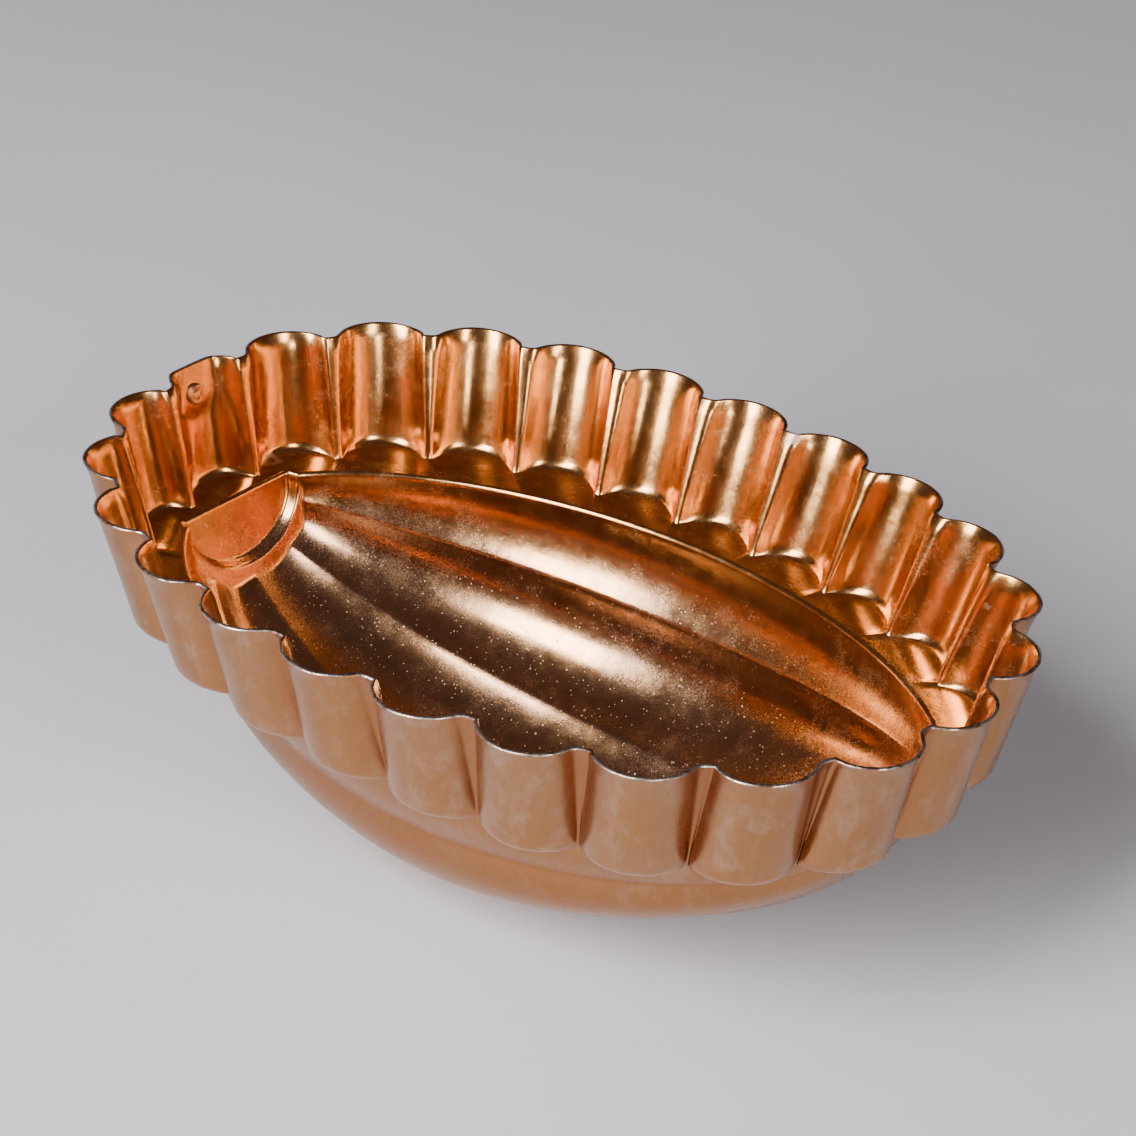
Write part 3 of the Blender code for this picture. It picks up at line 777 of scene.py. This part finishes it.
def copper_inside():
    """Polished copper-coloured lacquer: streaks, hazy stains, specks, dried drops, fine scratches."""
    n = Nodes("copper_inside")
    streaks = n.noise(n.scaled((420.0, 420.0, 14.0)), 4.0)
    cloud = n.noise(n.scaled((26.0, 26.0, 26.0), (1.7, 0.4, 2.2)), 5.0, 0.62)
    haze = n.noise(n.scaled((150.0, 150.0, 150.0)), 6.0, 0.7)
    fine = n.noise(n.scaled((700.0, 700.0, 700.0), (3.3, 0.2, 0.9)), 4.0, 0.7)
    stain = n.math("MULTIPLY", n.ramp(cloud, 0.50, 0.72), n.ramp(haze, 0.40, 0.70))
    stain = n.math("MULTIPLY", stain, n.ramp(fine, 0.36, 0.62, 0.25, 1.0))
    grit = n.noise(n.scaled((2400.0,) * 3, (0.4, 4.1, 0.7)), 3.0, 0.7)
    high = n.ramp(n.height(), WALL_TONE_FROM, WALL_TONE_TO)
    frost = n.math("MULTIPLY", n.ramp(grit, 0.42, 0.62), n.ramp(cloud, 0.34, 0.66, 0.3, 1.0))
    frost = n.math("MULTIPLY", frost, n.math("SUBTRACT", 1.0, n.math("MULTIPLY", high, 0.45)))
    stain = n.math("MULTIPLY", stain, n.math("SUBTRACT", 1.0, n.math("MULTIPLY", high, 0.6)))
    low = n.ramp(n.height(), BOWL_SPECKS_TOP, 0.0, 0.15, 1.0)
    coarse = speckles(n, 520.0, 0.17, 0.13, (0.3, 0.7, 0.1))
    small = speckles(n, 1100.0, 0.24, 0.22, (5.0, 2.0, 1.0))
    specks = n.math("MAXIMUM", coarse, small)
    specks = n.math("MULTIPLY", specks, low)
    drops = water_marks(n, 55.0, 0.10, (0.35, 0.85, 0.2))
    tone = n.blend(n.ramp(cloud, 0.3, 0.7), INSIDE_COPPER, INSIDE_PALE)
    tone = n.blend(high, tone, INSIDE_WALL)
    tone = n.blend(n.ramp(streaks, 0.42, 0.62, 0.0, 0.3), tone, INSIDE_STREAK)
    tone = n.blend(n.math("MULTIPLY", stain, 0.34), tone, STAIN)
    tone = n.blend(n.math("MULTIPLY", frost, 0.22), tone, FROST)
    tone = n.blend(n.math("MULTIPLY", drops, 0.5), tone, DRIED_DROP)
    tone = n.blend(n.math("MULTIPLY", specks, 0.6), tone, SPECK)
    rough = n.ramp(haze, 0.35, 0.75, 0.15, 0.25)
    rough = n.math("ADD", rough, n.math("MULTIPLY", n.math("MAXIMUM", stain, frost), 0.14))
    marks = n.math("MAXIMUM", specks, drops)
    rough = n.math("ADD", rough, n.math("MULTIPLY", marks, 0.25), clamp=True)
    dull = n.math("ADD", n.math("MULTIPLY", stain, 0.30), n.math("MULTIPLY", specks, 0.45))
    metal = n.math("SUBTRACT", 1.0, dull, clamp=True)
    grain = n.noise(n.scaled((1500.0, 1500.0, 60.0)), 2.0)
    scratch = n.noise(n.scaled((90.0, 2600.0, 1300.0), turn=(0.3, 0.2, 0.5)), 2.0)
    orange_peel = n.noise(n.scaled((340.0,) * 3), 2.0, 0.4)
    normal = n.bump(orange_peel, 0.10, 0.0004)
    normal = n.bump(grit, 0.12, 0.00003, normal)
    normal = n.bump(grain, 0.08, 0.0001, normal)
    normal = n.bump(scratch, 0.05, 0.0001, normal)
    normal = n.bump(specks, 0.5, 0.00008, normal)
    return n.finish(tone, rough, metal, normal)


def copper_outside():
    """The same lacquer unpolished: satin, brushed down the flutes, duller patches, painted shade in the
    valleys.
    """
    n = Nodes("copper_outside")
    brushed = n.noise(n.scaled((700.0, 700.0, 22.0)), 4.0)
    cloud = n.noise(n.scaled((34.0, 34.0, 34.0), (4.0, 1.0, 0.5)), 6.0, 0.6)
    rubbed = n.noise(n.scaled((120.0, 120.0, 80.0), (1.0, 5.0, 2.0)), 6.0, 0.72)
    # Painted shade: the outside darkens into the flute valleys and rib grooves
    valley = n.math("POWER", n.attribute("valley"), 2.2)
    tone = n.blend(n.ramp(cloud, 0.35, 0.68), OUTSIDE_COPPER, OUTSIDE_PALE)
    tone = n.blend(n.math("MULTIPLY", n.ramp(rubbed, 0.48, 0.70), 0.5), tone, OUTSIDE_HAZE)
    tone = n.blend(n.ramp(brushed, 0.40, 0.66, 0.0, 0.25), tone, OUTSIDE_BRUSHED)
    tone = n.blend(n.math("MULTIPLY", valley, 0.7), tone, VALLEY_PAINTED_SHADE)
    low = n.ramp(n.height(), LOW_TONE_FROM, LOW_TONE_TO, 0.0, 0.65)
    tone = n.blend(low, tone, OUTSIDE_LOW)
    rough = n.ramp(rubbed, 0.3, 0.75, 0.24, 0.38)
    grain = n.noise(n.scaled((2100.0, 2100.0, 90.0)), 2.0)
    normal = n.bump(n.noise(n.scaled((200.0,) * 3), 2.0, 0.4), 0.12, 0.0004)
    normal = n.bump(grain, 0.12, 0.0001, normal)
    return n.finish(tone, rough, 1.0, normal)


def raw_edge():
    """The cut edge of the sheet: bare aluminium with nicks and dark lines of dirt."""
    n = Nodes("raw_edge")
    dirt = n.noise(n.scaled((240.0, 240.0, 900.0)), 4.0, 0.7)
    tone = n.blend(n.ramp(dirt, 0.44, 0.60), EDGE_BARE, EDGE_DIRT)
    rough = n.ramp(dirt, 0.3, 0.7, 0.22, 0.55)
    normal = n.bump(n.noise(n.scaled((900.0,) * 3), 3.0), 0.35, 0.0002)
    return n.finish(tone, rough, 0.95, normal)


def copper_hardware(name, roughness):
    n = Nodes(name)
    worn = n.noise(n.scaled((500.0,) * 3), 4.0, 0.6)
    tone = n.blend(n.ramp(worn, 0.4, 0.65), HARDWARE_COPPER, HARDWARE_WORN)
    rough = n.ramp(worn, 0.3, 0.7, roughness, roughness + 0.14)
    normal = n.bump(n.noise(n.scaled((1600.0,) * 3), 2.0), 0.15, 0.0001)
    return n.finish(tone, rough, 1.0, normal)


# The ring's wire: painted shade darkens its base colour, with paler worn patches
def shaded_wire():
    n = Nodes("shaded_wire")
    worn = n.noise(n.scaled((380.0,) * 3), 5.0, 0.65)
    tone = n.blend(n.ramp(worn, 0.52, 0.70), WIRE_PAINTED_SHADE, WIRE_WORN)
    rough = n.ramp(worn, 0.3, 0.7, 0.30, 0.48)
    normal = n.bump(n.noise(n.scaled((1400.0,) * 3), 3.0), 0.25, 0.0001)
    return n.finish(tone, rough, 1.0, normal)


def pale_floor():
    n = Nodes("pale_floor")
    cloud = n.noise(n.scaled((3.0, 3.0, 3.0)), 3.0)
    tone = n.blend(n.ramp(cloud, 0.35, 0.7), FLOOR_DARK, FLOOR_PALE)
    normal = n.bump(n.noise(n.scaled((400.0,) * 3), 2.0), 0.02, 0.0002)
    return n.finish(tone, 0.55, 0.0, normal)


# ---------------------------------------------------------------- stage


def build_floor():
    bm = bmesh.new()
    bmesh.ops.create_grid(bm, x_segments=1, y_segments=1, size=4.0)
    floor = mesh_object("floor", bm, [pale_floor()])


def add_light(name, azimuth, elevation, distance, size, power, colour):
    """A soft panel seen from the mould at an azimuth from +X and an elevation, facing it."""
    data = bpy.data.lights.new(name, "AREA")
    data.shape = "RECTANGLE"
    data.size, data.size_y = size
    data.energy = power
    data.color = colour
    turn, rise = math.radians(azimuth), math.radians(elevation)
    direction = Vector((math.cos(turn) * math.cos(rise), math.sin(turn) * math.cos(rise), math.sin(rise)))
    light = bpy.data.objects.new(name, data)
    light.location = RIM_CENTRE + direction * distance
    light.rotation_mode = "QUATERNION"
    light.rotation_quaternion = direction.to_track_quat("Z", "Y")
    bpy.context.scene.collection.objects.link(light)


def build_lights():
    for light in LIGHTS:
        add_light(*light)
    world = bpy.data.worlds.new("room")
    world.use_nodes = True
    background = world.node_tree.nodes["Background"]
    background.inputs["Color"].default_value = ROOM
    background.inputs["Strength"].default_value = 1.0
    bpy.context.scene.world = world


def build_camera():
    data = bpy.data.cameras.new("camera")
    data.sensor_width = 36.0
    data.angle = math.radians(CAMERA_VIEW)
    data.clip_start = 0.01
    camera = bpy.data.objects.new("camera", data)
    place = RIM_CENTRE + CAMERA_FROM_RIM
    look = (RIM_CENTRE + CAMERA_AIM - place).normalized()
    level = look.to_track_quat("-Z", "Y").to_matrix().to_4x4()
    roll = Matrix.Rotation(math.radians(CAMERA_ROLL), 4, "Z")
    camera.matrix_world = Matrix.Translation(place) @ level @ roll
    bpy.context.scene.collection.objects.link(camera)
    bpy.context.scene.camera = camera


build_floor()
build_lights()
build_camera()
for build, node, body, slot in (
    (build_shell, "pan_shell", "pan", "pan_sheet"),
    (build_strap, "hanger_strap", "pan", "strap_sheet"),
    (build_rivet, "rivet", "pan", "rivet_metal"),
    (build_ring, "hanging_ring", "ring", "ring_wire"),
):
    piece = build()
    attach(piece, body)
    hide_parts(node)
